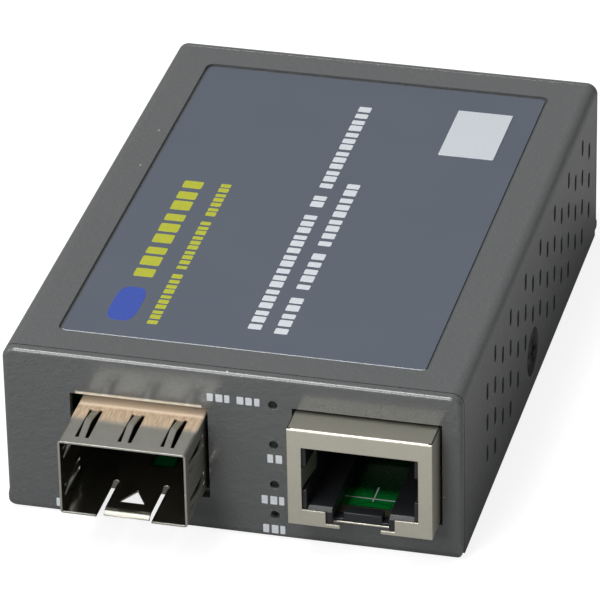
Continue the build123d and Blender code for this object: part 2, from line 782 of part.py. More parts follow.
# Host connector: the moulded socket that the module's edge card enters, and its two rows of contacts.
slot_middle = board_top + host_slot_lift
channel_height = host_contact_thickness + host_channel_slack
host_rear = host_front + host_length
host_row_width = (host_contact_count - 1) * host_contact_pitch
channel_width = host_row_width + host_contact_width + 2 * host_channel_slack
with BuildPart() as host_connector:
    with Locations((cage_offset, host_front, board_top)):
        Box(host_width, host_length, host_height, align=(Align.CENTER, Align.MIN, Align.MIN))
    chamfer(host_connector.edges().filter_by(Axis.X).group_by(Axis.Y)[0], host_chamfer)
    with Locations((cage_offset, host_front, slot_middle)):
        Box(host_slot_width, host_slot_depth, host_slot_height,
            align=(Align.CENTER, Align.MIN, Align.CENTER), mode=Mode.SUBTRACT)
        Box(channel_width, host_length, host_slot_height + 2 * channel_height,
            align=(Align.CENTER, Align.MIN, Align.CENTER), mode=Mode.SUBTRACT)

host_connector.part.label = "host_connector"
export_step(host_connector.part, "parts/host_connector.step")

with BuildPart() as host_contacts:
    upper_level = slot_middle + host_slot_height / 2 + host_channel_slack
    lower_level = slot_middle - host_slot_height / 2 - host_channel_slack
    thick = host_contact_thickness
    back = host_rear + host_tail_gap
    back_foot = back + host_contact_foot
    front = host_front - host_tail_gap
    front_foot = front - host_contact_foot
    upper_end = host_front + host_contact_setback
    lower_end = host_rear - host_lower_contact_reach
    for i in range(host_contact_count):
        contact_x = cage_offset - host_row_width / 2 + i * host_contact_pitch
        with BuildSketch(Plane.YZ.offset(contact_x)):
            Polygon((upper_end, upper_level), (back, upper_level), (back, board_top),
                    (back_foot, board_top), (back_foot, board_top + thick),
                    (back + thick, board_top + thick), (back + thick, upper_level + thick),
                    (upper_end, upper_level + thick), align=None)
            Polygon((lower_end, lower_level), (front - thick, lower_level),
                    (front - thick, board_top + thick), (front_foot, board_top + thick),
                    (front_foot, board_top), (front, board_top),
                    (front, lower_level - thick), (lower_end, lower_level - thick), align=None)
        extrude(amount=host_contact_width / 2, both=True)

host_contacts.part.label = "host_contacts"
export_step(host_contacts.part, "parts/host_contacts.step")


# Network jack shield: one folded plate, open below, with the front window and inward earthing tabs.
jack_roof = jack_floor + jack_height
with BuildPart() as jack_shield:
    with Locations((jack_offset, jack_front, jack_floor)):
        Box(jack_width, jack_depth, jack_height, align=(Align.CENTER, Align.MIN, Align.MIN))
    fillet(jack_shield.edges().filter_by(Axis.X).group_by(Axis.Z)[-1], jack_bend)
    with Locations((jack_offset, jack_front + jack_sheet, jack_floor - jack_sheet)):
        Box(jack_width - 2 * jack_sheet, jack_depth - 2 * jack_sheet, jack_height,
            align=(Align.CENTER, Align.MIN, Align.MIN), mode=Mode.SUBTRACT)
    with BuildSketch(Plane.XZ.offset(-jack_front)):
        with Locations((jack_offset, jack_floor)):
            with Locations((0, jack_window_low)):
                Rectangle(jack_window_width, jack_window_high - jack_window_low,
                          align=(Align.CENTER, Align.MIN))
            with Locations((0, jack_notch_low)):
                Rectangle(jack_notch_width, jack_window_low, align=(Align.CENTER, Align.MIN))
            Rectangle(jack_gap_width, 2 * jack_notch_low)
    extrude(amount=-jack_sheet, mode=Mode.SUBTRACT)
    with Locations((jack_offset, jack_front + jack_strap_setback, jack_floor)):
        Box(jack_width - jack_sheet, jack_strap_width, jack_sheet,
            align=(Align.CENTER, Align.MIN, Align.MIN))
    for side in (-1, 1):
        edge = jack_offset + side * jack_window_width / 2
        back = jack_front + ground_tab_reach
        with BuildSketch(Plane.XY.offset(jack_floor + ground_tab_lift)):
            Polygon((edge + side * jack_sheet, jack_front), (edge, jack_front),
                    (edge - side * ground_tab_lean, back),
                    (edge - side * (ground_tab_lean - jack_sheet), back),
                    (edge + side * jack_sheet, jack_front + ground_tab_root), align=None)
        extrude(amount=ground_tab_height)
    for x in jack_tail_xs:
        with Locations((x, jack_tail_y, jack_floor + jack_sheet)):
            Box(jack_sheet, jack_tail_width, jack_tail_reach + jack_sheet,
                align=(Align.CENTER, Align.CENTER, Align.MAX))

jack_shield.part.label = "jack_shield"
export_step(jack_shield.part, "parts/jack_shield.step")


# Network jack insert: the black moulding inside the shield, with the plug cavity, two ledges, a
# low bar that bridges them over the strap, the latch channel that is open over the board, a comb
# for the contacts and two locating pegs.
insert_front = jack_front + jack_sheet + jack_insert_gap
insert_rear = jack_rear - jack_sheet - jack_insert_gap
insert_floor = jack_floor + jack_sheet + jack_insert_gap
insert_roof = jack_roof - jack_sheet - jack_insert_gap
cavity_floor = jack_floor + jack_ledge
cavity_roof = jack_floor + jack_window_high
cavity_back = jack_front + jack_cavity_depth
contact_level = cavity_roof - jack_contact_roof_gap - jack_contact_thickness
tail_room_front = jack_pin_rows[0] - jack_tail_room
strap_front = jack_front + jack_strap_setback
bar_rear = strap_front + jack_bar_depth
with BuildPart() as jack_insert:
    with Locations((jack_offset, insert_front, insert_floor)):
        Box(jack_width - 2 * (jack_sheet + jack_insert_gap), insert_rear - insert_front,
            insert_roof - insert_floor, align=(Align.CENTER, Align.MIN, Align.MIN))
    with Locations((jack_offset, insert_front, cavity_floor)):
        Box(jack_cavity_width, cavity_back - insert_front, cavity_roof - cavity_floor,
            align=(Align.CENTER, Align.MIN, Align.MIN), mode=Mode.SUBTRACT)
    lead_in_edges = jack_insert.edges().filter_by(Axis.X).filter_by_position(
        Axis.Y, insert_front - pick, insert_front + pick).filter_by_position(
        Axis.Z, cavity_floor - pick, cavity_floor + pick)
    chamfer(lead_in_edges, jack_lead_in)
    with Locations((jack_offset, insert_front, jack_floor + jack_latch_floor)):
        Box(jack_latch_width, cavity_back - insert_front, cavity_floor, mode=Mode.SUBTRACT,
            align=(Align.CENTER, Align.MIN, Align.MIN))
    with Locations((jack_offset, insert_front, insert_floor)):
        Box(jack_latch_width, strap_front - insert_front, jack_latch_floor, mode=Mode.SUBTRACT,
            align=(Align.CENTER, Align.MIN, Align.MIN))
    with Locations((jack_offset, bar_rear, insert_floor)):
        Box(jack_latch_width, cavity_back - bar_rear, cavity_floor, mode=Mode.SUBTRACT,
            align=(Align.CENTER, Align.MIN, Align.MIN))
    with Locations((jack_offset, strap_front, jack_floor + jack_latch_floor)):
        Box(jack_bar_width, jack_bar_depth, jack_bar_height - jack_latch_floor,
            align=(Align.CENTER, Align.MIN, Align.MIN))
    comb_width = (jack_contact_count - 1) * jack_contact_pitch + jack_contact_width + jack_comb_slack
    with Locations((jack_offset, cavity_back, cavity_roof)):
        Box(comb_width, insert_rear - cavity_back, jack_comb_height,
            align=(Align.CENTER, Align.MIN, Align.MAX), mode=Mode.SUBTRACT)
    with Locations((jack_offset, tail_room_front, insert_floor)):
        Box(comb_width, insert_rear - tail_room_front, cavity_roof - insert_floor,
            align=(Align.CENTER, Align.MIN, Align.MIN), mode=Mode.SUBTRACT)
    for side in (-1, 1):
        with Locations((jack_offset + side * (jack_cavity_width / 2 + ground_tab_lean), insert_front,
                        jack_floor + ground_tab_lift - ground_pocket_gap)):
            Box(ground_pocket_width, ground_tab_reach + ground_pocket_gap,
                ground_tab_height + 2 * ground_pocket_gap,
                align=(Align.CENTER, Align.MIN, Align.MIN), mode=Mode.SUBTRACT)
    with BuildSketch(Plane.XY.offset(board_bottom)):
        with Locations(*[(jack_offset + side * jack_peg_spread, jack_peg_y) for side in (-1, 1)]):
            Circle(jack_peg_radius)
    extrude(amount=insert_floor - board_bottom)

jack_insert.part.label = "jack_insert"
export_step(jack_insert.part, "parts/jack_insert.step")


# Network jack contacts: eight spring wires that slope back from the cavity's roof, with staggered tails.
with BuildPart() as jack_contacts:
    wire = jack_contact_thickness
    hook = jack_front + jack_contact_hook
    spring_end = hook + jack_contact_run
    spring_drop = contact_level - jack_contact_drop
    tail_end = board_bottom - jack_contact_tail
    for i, x in enumerate(jack_contact_xs):
        tail = jack_pin_rows[i % 2]
        with BuildSketch(Plane.YZ.offset(x)):
            Polygon((tail + wire / 2, contact_level + wire), (hook + wire, contact_level + wire),
                    (hook, contact_level + wire / 2), (spring_end, spring_drop),
                    (spring_end + wire, spring_drop + wire), (hook + 3 * wire, contact_level),
                    (tail - wire / 2, contact_level), (tail - wire / 2, tail_end),
                    (tail + wire / 2, tail_end), align=None)
        extrude(amount=jack_contact_width / 2, both=True)

jack_contacts.part.label = "jack_contacts"
export_step(jack_contacts.part, "parts/jack_contacts.step")


# Light guide: one clear moulding of three elbows that carry light from the board to the front holes.
guide_stations = [front_inside + guide_first_setback + (2 - i) * guide_step for i in range(3)]
guide_base = board_top + lamp_chip_height + lamp_gap
guide_face = front_inside + guide_panel_gap
with BuildPart() as light_guide:
    bar = guide_width / 2
    for height, station in zip(lamp_heights, guide_stations):
        with BuildSketch(Plane.YZ.offset(lamp_offset)):
            Polygon((guide_face, height - bar), (station - bar, height - bar), (station - bar, guide_base),
                    (station + bar, guide_base), (station + bar, height), (station, height + bar),
                    (guide_face, height + bar), align=None)
        extrude(amount=bar, both=True)
        with BuildSketch(Plane.XZ.offset(-front_face - guide_recess)):
            with Locations((lamp_offset, height)):
                Circle(guide_tip_radius)
        extrude(amount=guide_recess - sheet - guide_tip_root)
    web_top = lamp_heights[2] - bar
    with Locations((lamp_offset, guide_stations[2], web_top)):
        Box(guide_width / 2, guide_stations[0] - guide_stations[2], guide_web_height,
            align=(Align.CENTER, Align.MIN, Align.MAX))
    peg_places = [guide_stations[2] + guide_step / 2, guide_stations[1] + guide_step / 2]
    with Locations(*[(lamp_offset, y, board_top) for y in peg_places]):
        Cylinder(guide_peg_radius, web_top - guide_web_height / 2 - board_top,
                 align=(Align.CENTER, Align.CENTER, Align.MIN))

light_guide.part.label = "light_guide"
export_step(light_guide.part, "parts/light_guide.step")


# Lamps: three chip lamps under the light guide and a side-looking one under the board's front edge.
with BuildPart() as lamp_chips:
    for station in guide_stations:
        with Locations((lamp_offset, station, board_top)):
            Box(lamp_chip_length, lamp_chip_width, lamp_chip_height,
                align=(Align.CENTER, Align.CENTER, Align.MIN))
    with Locations((lamp_offset, lamp_edge_inset - board_length / 2, board_bottom)):
        Box(lamp_chip_length, lamp_chip_width, lamp_chip_height,
            align=(Align.CENTER, Align.MIN, Align.MAX))

lamp_chips.part.label = "lamp_chips"
export_step(lamp_chips.part, "parts/lamp_chips.step")


# Power inlet: moulded block with the plug's bore, its centre pin and its side spring.
spring_channel_roof = inlet_axis - inlet_bore_radius + spring_channel_top
with BuildPart() as inlet_block:
    with Locations((inlet_offset, rear_face, board_top)):
        Box(inlet_width, inlet_length, inlet_height, align=(Align.CENTER, Align.MAX, Align.MIN))
    chamfer(inlet_block.edges().filter_by(Axis.Y).group_by(Axis.Z)[-1], inlet_chamfer)
    with BuildSketch(Plane.XZ.offset(-rear_face)):
        with Locations((inlet_offset, inlet_axis)):
            Circle(inlet_bore_radius)
    extrude(amount=inlet_bore_depth, mode=Mode.SUBTRACT)
    with BuildSketch(Plane.XZ.offset(-(rear_face - inlet_bore_depth))):
        with Locations((inlet_offset, inlet_axis)):
            Circle(inlet_shank_radius + screw_clearance)
    extrude(amount=inlet_length, mode=Mode.SUBTRACT)
    with Locations((inlet_offset, rear_face - inlet_lip, spring_channel_roof)):
        Box(inlet_terminal_width + 2 * inlet_terminal_slack, inlet_length, spring_channel_height,
            align=(Align.CENTER, Align.MAX, Align.MAX), mode=Mode.SUBTRACT)
    with Locations((inlet_offset, inlet_pin_y, board_top)):
        Box(inlet_terminal_width + inlet_terminal_slack,
            2 * inlet_pin_terminal_setback + inlet_terminal_slack,
            inlet_axis - board_top + inlet_pin_radius + inlet_terminal_slack,
            align=(Align.CENTER, Align.CENTER, Align.MIN), mode=Mode.SUBTRACT)
    with Locations((inlet_offset, inlet_spring_y, board_top)):
        Box(inlet_terminal_width + inlet_terminal_slack, 2 * inlet_terminal_thickness,
            spring_channel_roof - board_top, align=(Align.CENTER, Align.CENTER, Align.MIN),
            mode=Mode.SUBTRACT)

inlet_block.part.label = "inlet_block"
export_step(inlet_block.part, "parts/inlet_block.step")

with BuildPart() as inlet_pin:
    bore_bottom = rear_face - inlet_bore_depth
    with BuildSketch(Plane.XZ.offset(-bore_bottom)):
        with Locations((inlet_offset, inlet_axis)):
            Circle(inlet_pin_radius)
    extrude(amount=inlet_pin_setback - inlet_bore_depth)
    fillet(inlet_pin.edges().group_by(Axis.Y)[-1], inlet_pin_round)
    with BuildSketch(Plane.XZ.offset(-bore_bottom)):
        with Locations((inlet_offset, inlet_axis)):
            Circle(inlet_shank_radius)
    extrude(amount=bore_bottom - inlet_pin_y)
    with Locations((inlet_offset, inlet_pin_y, inlet_axis)):
        Box(inlet_terminal_width, inlet_terminal_thickness, inlet_axis - board_bottom + inlet_terminal_tail,
            align=(Align.CENTER, Align.CENTER, Align.MAX))

inlet_pin.part.label = "inlet_pin"
export_step(inlet_pin.part, "parts/inlet_pin.step")

with BuildPart() as inlet_spring:
    spring_low = inlet_axis - inlet_bore_radius - spring_rise
    spring_high = spring_low + spring_rise
    spring_foot = board_bottom - inlet_terminal_tail
    spring_near = inlet_spring_y - spring_thickness / 2
    spring_far = inlet_spring_y + spring_thickness / 2
    spring_crest = inlet_spring_y + spring_bow_setback
    spring_tip = rear_face - spring_end_setback
    with BuildSketch(Plane.YZ.offset(inlet_offset)):
        Polygon((spring_near, spring_foot), (spring_far, spring_foot), (spring_far, spring_low),
                (spring_crest, spring_high), (spring_tip, spring_low),
                (spring_tip, spring_low + spring_thickness), (spring_crest, spring_high + spring_thickness),
                (spring_near, spring_low + spring_thickness), align=None)
    extrude(amount=inlet_terminal_width / 2, both=True)

inlet_spring.part.label = "inlet_spring"
export_step(inlet_spring.part, "parts/inlet_spring.step")


# Setting switch: front cover with four slots, base with eight pins, and the four sliders.
slot_height = slider_knob_height + slider_travel + 2 * slider_clearance
cavity_height = slider_plate_height + slider_travel + 2 * slider_clearance
cavity_depth = slider_plate_depth + 2 * slider_clearance
with BuildPart() as switch_cover:
    with Locations((switch_offset, switch_face, board_top)):
        Box(switch_width, switch_cover_depth, switch_height,
            align=(Align.CENTER, Align.MAX, Align.MIN))
    with Locations(*[(x, switch_face, switch_middle) for x in slider_places]):
        Box(slider_knob_width + 2 * slider_clearance, 2 * switch_cover_depth, slot_height,
            mode=Mode.SUBTRACT)
    with Locations(*[(x, switch_face - switch_cover_depth, switch_middle) for x in slider_places]):
        Box(slider_plate_width + 2 * slider_clearance, cavity_depth, cavity_height,
            align=(Align.CENTER, Align.MIN, Align.CENTER), mode=Mode.SUBTRACT)

switch_cover.part.label = "switch_cover"
export_step(switch_cover.part, "parts/switch_cover.step")

with BuildPart() as switch_base:
    with Locations((switch_offset, switch_face - switch_cover_depth, board_top)):
        Box(switch_width, switch_base_depth, switch_height, align=(Align.CENTER, Align.MAX, Align.MIN))

switch_base.part.label = "switch_base"
export_step(switch_base.part, "parts/switch_base.step")

for number, x in enumerate(slider_places, start=1):
    with BuildPart() as slider:
        plate_back = switch_face - switch_cover_depth + slider_clearance
        rest_height = switch_middle - slider_travel / 2
        with Locations((x, plate_back, rest_height)):
            Box(slider_plate_width, slider_plate_depth, slider_plate_height,
                align=(Align.CENTER, Align.MIN, Align.CENTER))
            Box(slider_knob_width, switch_face + slider_knob_reach - plate_back, slider_knob_height,
                align=(Align.CENTER, Align.MIN, Align.CENTER))
        fillet(slider.edges().filter_by(Axis.X).group_by(Axis.Y)[-1], slider_round)
    slider.part.label = f"switch_slider_{number}"
    export_step(slider.part, f"parts/switch_slider_{number}.step")

with BuildPart() as switch_pins:
    pin_end = board_bottom - switch_pin_tail
    bend_height = board_top + switch_pin_exit
    for x in slider_places:
        with Locations((x, switch_pin_ys[1], board_top)):
            Box(switch_pin, switch_pin, board_top - pin_end, align=(Align.CENTER, Align.CENTER, Align.MAX))
        with BuildSketch(Plane.YZ.offset(x)):
            near = switch_pin_ys[0] + switch_pin / 2
            far = switch_pin_ys[0] - switch_pin / 2
            Polygon((switch_back, bend_height), (far, bend_height), (far, pin_end), (near, pin_end),
                    (near, bend_height - switch_pin), (switch_back, bend_height - switch_pin), align=None)
        extrude(amount=switch_pin / 2, both=True)

switch_pins.part.label = "switch_pins"
export_step(switch_pins.part, "parts/switch_pins.step")


def chip_lead(half_body, height):
    """One gull-wing lead that points along +X from a body of the given half size and height."""
    with BuildPart() as lead:
        with BuildSketch(Plane.XZ):
            Polygon(*gull_lead(half_body, board_top + height / 2, lead_reach), align=None)
        extrude(amount=lead_width / 2, both=True)
    return lead.part


def lead_row(place, angle, side, corner, pitch):
    """Locations of the leads that fit on the side of a chip that faces the given angle."""
    turned = Location((place[0], place[1], 0), (0, 0, angle))
    count = 1 + int((side - 2 * corner) / pitch)
    return [turned * Location((0, (i - (count - 1) / 2) * pitch, 0)) for i in range(count)]


# Isolation transformer of the network port: a moulded block with a row of leads along each long side.
with BuildPart() as isolation_transformer:
    with Locations((*magnetics_place, board_top + chip_stand)):
        Box(*magnetics_size, align=(Align.CENTER, Align.CENTER, Align.MIN))
    chamfer(isolation_transformer.edges().group_by(Axis.Z)[-1], magnetics_chamfer)

isolation_transformer.part.label = "isolation_transformer"
export_step(isolation_transformer.part, "parts/isolation_transformer.step")

with BuildPart() as transformer_leads:
    transformer_lead = chip_lead(magnetics_size[1] / 2, magnetics_size[2] / 2)
    for angle in (90, -90):
        row = lead_row(magnetics_place, angle, magnetics_size[0], magnetics_lead_corner,
                       magnetics_lead_pitch)
        with Locations(*row):
            add(transformer_lead)

transformer_leads.part.label = "transformer_leads"
export_step(transformer_leads.part, "parts/transformer_leads.step")


# Converter chip: a flat square package with leads on all four sides.
with BuildPart() as converter_chip:
    with Locations((*chip_place, board_top + chip_stand)):
        Box(*chip_size, align=(Align.CENTER, Align.CENTER, Align.MIN))
    chamfer(converter_chip.edges().group_by(Axis.Z)[-1], chip_chamfer)
    chip_mark_x = chip_place[0] - chip_mark_share * chip_size[0]
    chip_mark_y = chip_place[1] - chip_mark_share * chip_size[1]
    with Locations((chip_mark_x, chip_mark_y, board_top + chip_stand + chip_size[2])):
        Hole(chip_mark_radius, chip_mark_depth)

converter_chip.part.label = "converter_chip"
export_step(converter_chip.part, "parts/converter_chip.step")

with BuildPart() as converter_chip_leads:
    for angle, depth, side in ((0, *chip_size[:2]), (90, *chip_size[1::-1])):
        converter_lead = chip_lead(depth / 2, chip_size[2])
        for facing in (angle, angle + 180):
            with Locations(*lead_row(chip_place, facing, side, chip_lead_corner, chip_lead_pitch)):
                add(converter_lead)

converter_chip_leads.part.label = "converter_chip_leads"
export_step(converter_chip_leads.part, "parts/converter_chip_leads.step")


# Small chips: the settings memory and the voltage regulator, in the same eight-lead package.
with BuildPart() as small_chips:
    with Locations(*[(x, y, board_top + chip_stand) for x, y in memory_places]):
        Box(*memory_size, align=(Align.CENTER, Align.CENTER, Align.MIN))
    chamfer(small_chips.edges().group_by(Axis.Z)[-1], memory_chamfer)

small_chips.part.label = "small_chips"
export_step(small_chips.part, "parts/small_chips.step")

with BuildPart() as small_chip_leads:
    small_lead = chip_lead(memory_size[1] / 2, memory_size[2])
    for place in memory_places:
        for angle in (90, -90):
            with Locations(*lead_row(place, angle, memory_size[0], memory_lead_corner, memory_lead_pitch)):
                add(small_lead)

small_chip_leads.part.label = "small_chip_leads"
export_step(small_chip_leads.part, "parts/small_chip_leads.step")


# Crystal: a low can with rounded ends on a flange.
with BuildPart() as crystal:
    with BuildSketch(Plane.XY.offset(board_top)):
        with Locations(crystal_place):
            SlotOverall(crystal_length, crystal_width)
    extrude(amount=crystal_flange)
    with BuildSketch(Plane.XY.offset(board_top + crystal_flange)):
        with Locations(crystal_place):
            SlotOverall(crystal_length - crystal_flange, crystal_width - crystal_flange)
    extrude(amount=crystal_height - crystal_flange)
    fillet(crystal.edges().group_by(Axis.Z)[-1], crystal_flange / 2)

crystal.part.label = "crystal"
export_step(crystal.part, "parts/crystal.step")


# Tank capacitors: aluminium cans with a crimp groove, each on a black base with two cut corners.
with BuildPart() as tank_bases:
    with BuildSketch(Plane.XY.offset(board_top)):
        with Locations(*tank_places):
            Rectangle(tank_base, tank_base)
    extrude(amount=tank_base_height)
    leading_corners = tank_bases.edges().filter_by(Axis.Z).group_by(Axis.Y)
    chamfer(leading_corners[1] + leading_corners[-1], tank_base_corner)

tank_bases.part.label = "tank_bases"
export_step(tank_bases.part, "parts/tank_bases.step")

with BuildPart() as tank_can:
    Cylinder(tank_radius, tank_height, align=(Align.CENTER, Align.CENTER, Align.MIN))
    fillet(tank_can.edges().group_by(Axis.Z)[-1], tank_round)
    with BuildSketch(Plane.XZ):
        with Locations((tank_radius, tank_groove_height)):
            Circle(tank_groove_radius)
    revolve(axis=Axis.Z, mode=Mode.SUBTRACT)

with BuildPart() as tank_cans:
    with Locations(*[(x, y, board_top + tank_base_height) for x, y in tank_places]):
        add(tank_can.part)

tank_cans.part.label = "tank_cans"
export_step(tank_cans.part, "parts/tank_cans.step")


# Power choke: a shielded coil with a round core showing in its top.
with BuildPart() as power_choke:
    with BuildSketch(Plane.XY.offset(board_top)):
        with Locations(choke_place):
            RectangleRounded(choke_size[0], choke_size[1], choke_corner)
    extrude(amount=choke_size[2])
    with BuildSketch(Plane.XY.offset(board_top + choke_size[2])):
        with Locations(choke_place):
            Circle(choke_groove_radius)
            Circle(choke_groove_radius - choke_groove_width, mode=Mode.SUBTRACT)
    extrude(amount=-choke_groove, mode=Mode.SUBTRACT)

power_choke.part.label = "power_choke"
export_step(power_choke.part, "parts/power_choke.step")


# Chip capacitors and chip resistors: small blocks soldered flat on the board.
with BuildPart() as chip_capacitors:
    with Locations(*[(x, y, board_top) for x, y in capacitor_places]):
        Box(*chip_part_size, align=(Align.CENTER, Align.CENTER, Align.MIN))

chip_capacitors.part.label = "chip_capacitors"
export_step(chip_capacitors.part, "parts/chip_capacitors.step")

with BuildPart() as chip_resistors:
    with Locations(*[(x, y, board_top) for x, y in resistor_places]):
        Box(*resistor_size, align=(Align.CENTER, Align.CENTER, Align.MIN))

chip_resistors.part.label = "chip_resistors"
export_step(chip_resistors.part, "parts/chip_resistors.step")
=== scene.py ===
from math import cos, radians, sin

import bmesh
import bpy
import numpy as np
from mathutils import Matrix, Vector


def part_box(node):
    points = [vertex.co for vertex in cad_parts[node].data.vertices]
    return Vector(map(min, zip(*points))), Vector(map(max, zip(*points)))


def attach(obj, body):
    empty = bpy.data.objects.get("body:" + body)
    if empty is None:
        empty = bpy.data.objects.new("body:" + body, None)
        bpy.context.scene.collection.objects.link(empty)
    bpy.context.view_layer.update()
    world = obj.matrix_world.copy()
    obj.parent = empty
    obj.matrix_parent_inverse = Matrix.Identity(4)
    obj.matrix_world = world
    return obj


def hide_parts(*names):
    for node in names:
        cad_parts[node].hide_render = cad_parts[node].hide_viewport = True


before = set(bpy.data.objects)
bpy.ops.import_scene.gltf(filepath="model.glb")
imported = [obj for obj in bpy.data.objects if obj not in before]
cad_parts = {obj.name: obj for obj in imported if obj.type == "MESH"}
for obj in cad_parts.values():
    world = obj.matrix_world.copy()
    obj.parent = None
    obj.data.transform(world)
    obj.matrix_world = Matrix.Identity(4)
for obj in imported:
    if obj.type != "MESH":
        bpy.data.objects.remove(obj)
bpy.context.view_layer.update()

# Camera: half a metre in front of the ports and above them, a little to the right, with a long
# lens, so that the lid, the port side and the vented right side show together.
azimuth, elevation, roll = radians(14.689), radians(30.157), radians(-1.176)
behind = Vector((sin(azimuth) * cos(elevation), -cos(azimuth) * cos(elevation), sin(elevation)))
level = Vector((cos(azimuth), sin(azimuth), 0))
upright = behind.cross(level)
across = cos(roll) * level + sin(roll) * upright
above = cos(roll) * upright - sin(roll) * level
camera = bpy.data.objects.new("camera", bpy.data.cameras.new("camera"))
camera.matrix_world = (Matrix.Translation((0.130301, -0.503387, 0.310799))
                       @ Matrix((across, above, behind)).transposed().to_4x4())
camera.data.sensor_width = 36
camera.data.lens = 315.83
camera.data.clip_start = 0.05
camera.data.clip_end = 20
bpy.context.scene.collection.objects.link(camera)
bpy.context.scene.camera = camera
bpy.context.scene.view_settings.view_transform = "Standard"


# Studio: a white room. The camera sees its walls and floor white, while what they shed on the
# object is softer, and four soft lamps light the lid, the ports, the bent edges and the left side.
class Signal:
    """One shader socket of a material or of the world. Sums and products of signals and numbers add
    Math nodes, and node() adds any other node."""

    def __init__(self, owner, socket=None):
        self.owner = owner
        self.socket = socket

    def node(self, kind, settings=None, inputs=None, output=0):
        """Adds a node, makes its settings, then fills its sockets with values or links signals to
        them, by name or number, and gives back one of its outputs."""
        made = self.owner.node_tree.nodes.new(kind)
        for name, value in (settings or {}).items():
            setattr(made, name, value)
        for name, value in (inputs or {}).items():
            if isinstance(value, Signal):
                self.owner.node_tree.links.new(value.socket, made.inputs[name])
            else:
                made.inputs[name].default_value = value
        return Signal(self.owner, made.outputs[output] if made.outputs else None)

    def math(self, operation, first, second=0.0):
        return self.node("ShaderNodeMath", {"operation": operation}, {0: first, 1: second})

    def __add__(self, other):
        return self.math("ADD", self, other)

    __radd__ = __add__

    def __sub__(self, other):
        return self.math("SUBTRACT", self, other)

    def __rsub__(self, other):
        return self.math("SUBTRACT", other, self)

    def __mul__(self, other):
        return self.math("MULTIPLY", self, other)

    __rmul__ = __mul__

    def __or__(self, other):
        return self.math("MAXIMUM", self, other)

    def __and__(self, other):
        return self.math("MINIMUM", self, other)

    def __abs__(self):
        return self.math("ABSOLUTE", self)

    def rise(self, low, high):
        """0 below low and 1 above high, with a smooth step between them."""
        return self.node("ShaderNodeMapRange", {"interpolation_type": "SMOOTHSTEP"},
                         {"Value": self, "From Min": low, "From Max": high})

    def fall(self, low, high):
        return 1 - self.rise(low, high)

    def tint(self, under, over):
        """Colour that goes from under to over as this signal goes from 0 to 1."""
        return self.node("ShaderNodeMix", {"data_type": "RGBA"}, {0: self, 6: under, 7: over}, 2)

    def axes(self):
        """X, Y and Z of a vector signal."""
        split = self.node("ShaderNodeSeparateXYZ", {}, {0: self})
        return [Signal(self.owner, socket) for socket in split.socket.node.outputs]


studio = bpy.data.worlds.new("studio")
bpy.context.scene.world = studio
studio.use_nodes = True
studio.node_tree.nodes.clear()
room = Signal(studio)
seen = room.node("ShaderNodeLightPath", output="Is Camera Ray")
gloss = room.node("ShaderNodeLightPath", output="Is Glossy Ray")
rightness, depth, height = room.node("ShaderNodeTexCoord", output="Generated").axes()
# What the walls shed: less from the right, and to gloss only half as much, but for the upper rear.
upper_rear = depth.rise(0, 0.5) & height.rise(0.1, 0.45)
shed = 0.4 - 0.14 * rightness - gloss * (0.2 - 0.22 * upper_rear)
room_light = room.node("ShaderNodeBackground", {}, {"Color": (1, 1, 1, 1), "Strength": shed | seen})
room.node("ShaderNodeOutputWorld", {}, {"Surface": room_light})


def soft_lamp(name, place, size, power):
    """A square area lamp of a size in metres and a power in watts, turned to face the object."""
    middle = Vector((0, 0, 0.01))
    lamp = bpy.data.objects.new(name, bpy.data.lights.new(name, "AREA"))
    lamp.data.size = size
    lamp.data.energy = power
    lamp.location = place
    lamp.rotation_euler = (Vector(place) - middle).to_track_quat("Z", "Y").to_euler()
    bpy.context.scene.collection.objects.link(lamp)


soft_lamp("key_lamp", (-0.2, -0.25, 0.88), 0.28, 3.1)
soft_lamp("edge_lamp", (-0.23, -0.6, 0.8), 0.24, 1.2)
soft_lamp("port_lamp", (-0.25, -0.95, 0.55), 0.36, 3.3)
soft_lamp("left_lamp", (-0.5, -0.4, 0.28), 0.3, 0.5)


def begin(name):
    """An empty node material, as a signal that its nodes are added to."""
    material = bpy.data.materials.new(name)
    material.use_nodes = True
    material.node_tree.nodes.clear()
    return Signal(material)


def coat(start, inputs):
    """Ends a material with one Principled shader that takes these inputs, and returns it."""
    shader = start.node("ShaderNodeBsdfPrincipled", {}, inputs)
    start.node("ShaderNodeOutputMaterial", {}, {"Surface": shader})
    return start.owner


def shown(name, mesh):
    """A mesh put into the scene as an object at the origin."""
    piece = bpy.data.objects.new(name, mesh)
    bpy.context.scene.collection.objects.link(piece)
    return piece


def surface(name, points, faces):
    """An object at the origin from an array of points in metres and a list of faces."""
    mesh = bpy.data.meshes.new(name)
    mesh.from_pydata(points.tolist(), [], faces)
    mesh.update()
    return shown(name, mesh)


reach, drop = 6, 1e-5
corners = [(-reach, -reach, -drop), (reach, -reach, -drop),
           (reach, reach, -drop), (-reach, reach, -drop)]
floor = surface("floor", np.array(corners), [(0, 1, 2, 3)])
paper = begin("white_paper")
seen = paper.node("ShaderNodeLightPath", output="Is Camera Ray")
gloss = paper.node("ShaderNodeLightPath", output="Is Glossy Ray")
in_front = paper.node("ShaderNodeTexCoord", output="Object").axes()[1].fall(-0.09, -0.03)
glow = (seen | 0.26 * gloss * in_front).tint((0, 0, 0, 1), (1, 1, 1, 1))
floor.data.materials.append(coat(paper, {
    "Base Color": (0.33, 0.33, 0.33, 1), "Roughness": 0.9, "Specular IOR Level": 0.0,
    "Emission Color": glow, "Emission Strength": 0.83}))


# Painted steel case: a chassis folded up into the port side and the rear, and a cover bent down
# over both flanks and held by a black countersunk screw in each. Both are one millimetre sheet
# under a grained dark grey powder coat. The cover is shown as the solid itself.
mm = 0.001


